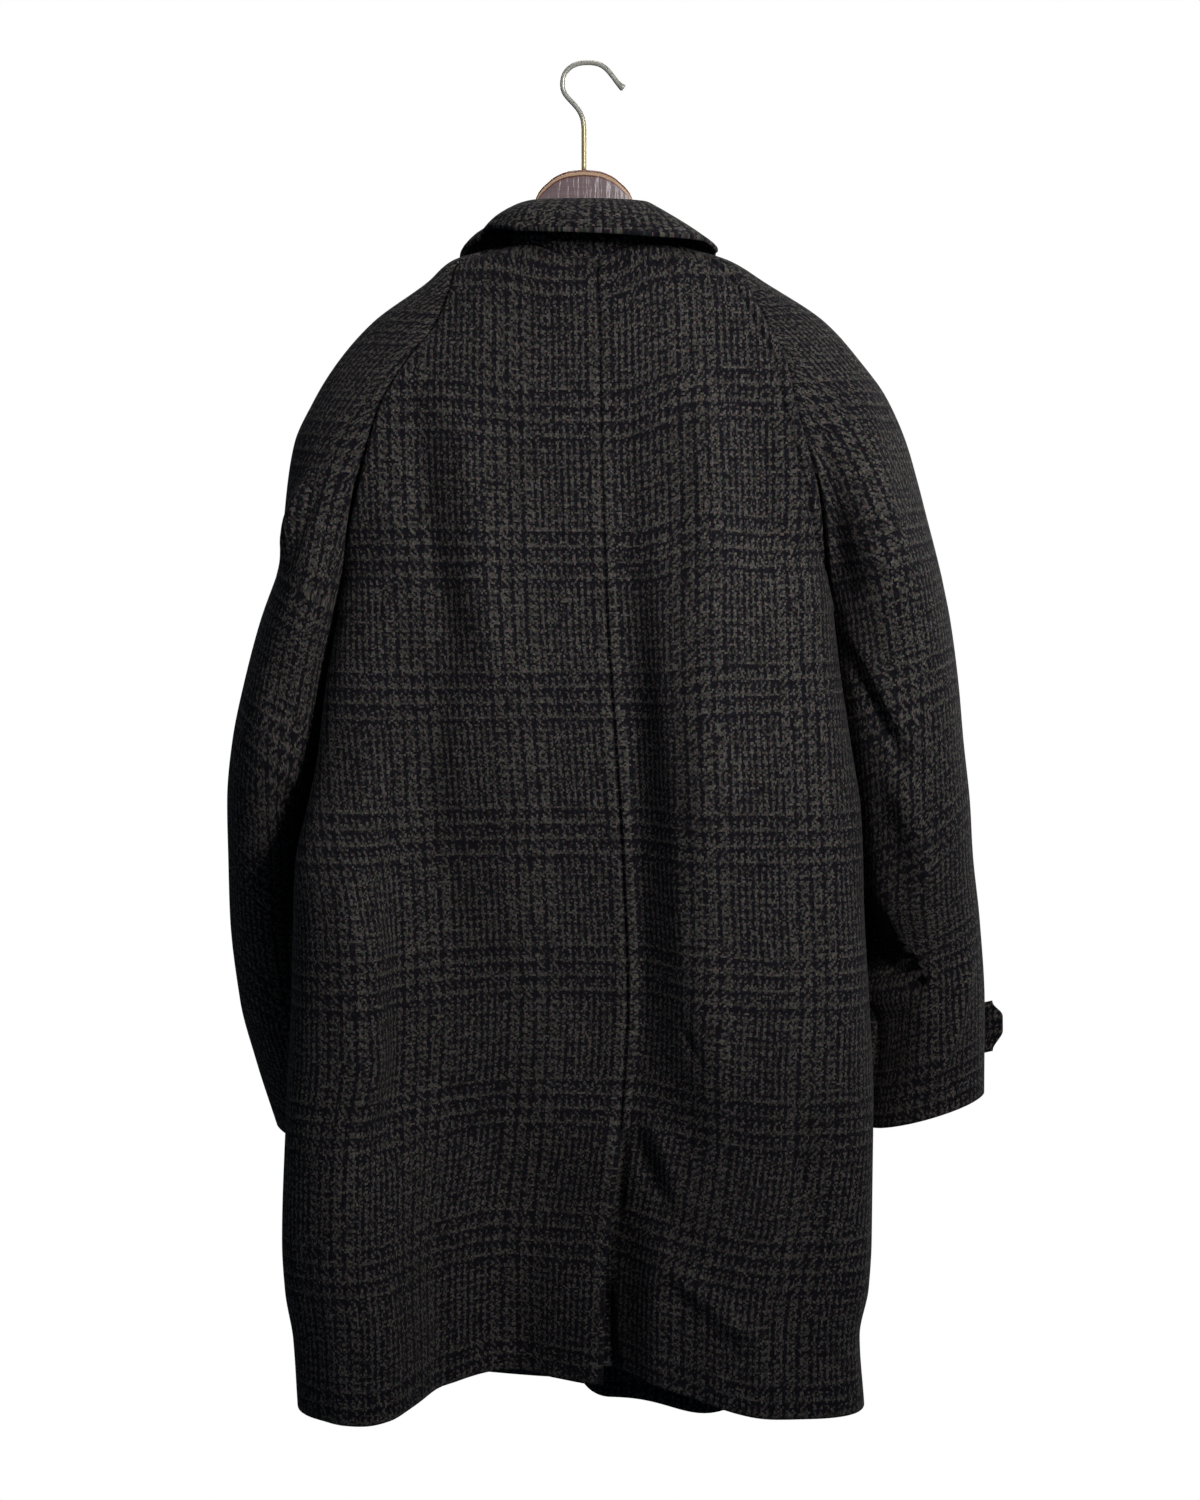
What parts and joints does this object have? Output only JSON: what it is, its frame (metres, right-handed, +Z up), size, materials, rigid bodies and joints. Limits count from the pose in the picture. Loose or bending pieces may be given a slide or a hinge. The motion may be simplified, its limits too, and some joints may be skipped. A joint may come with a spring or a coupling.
{
  "type": "overcoat on hanger",
  "caption": "Heavy wool overcoat in a grey glen check with raglan sleeves, turned-down collar, centre-back vent and cuff straps, hanging on a wooden hanger with a wire hook.",
  "frame": {"origin": "inside top of the hook, where the rod seats", "axes": "+X to the wearer's right, +Y to the front of the coat, +Z up"},
  "size_m": [0.7141, 0.319, 1.2302],
  "materials": {
    "wool_check": "matt napped wool",
    "horn_button": "satin",
    "varnished_wood": "gloss varnish",
    "plated_wire": "bright plated"
  },
  "bodies": {
    "root": {"back_left": "wool_check", "back_right": "wool_check", "front_left": "wool_check", "front_right": "wool_check", "sleeve_back_left": "wool_check", "sleeve_front_left": "wool_check", "sleeve_back_right": "wool_check", "sleeve_front_right": "wool_check", "collar_stand": "wool_check", "collar_fall": "wool_check", "cuff_tab_left": "wool_check", "cuff_tab_right": "wool_check", "button_front_1": "horn_button", "button_front_2": "horn_button", "button_front_3": "horn_button", "button_front_4": "horn_button", "button_cuff_left": "horn_button", "button_cuff_right": "horn_button", "hanger_body": "varnished_wood", "hanger_hook": "plated_wire"}
  },
  "joints": []
}
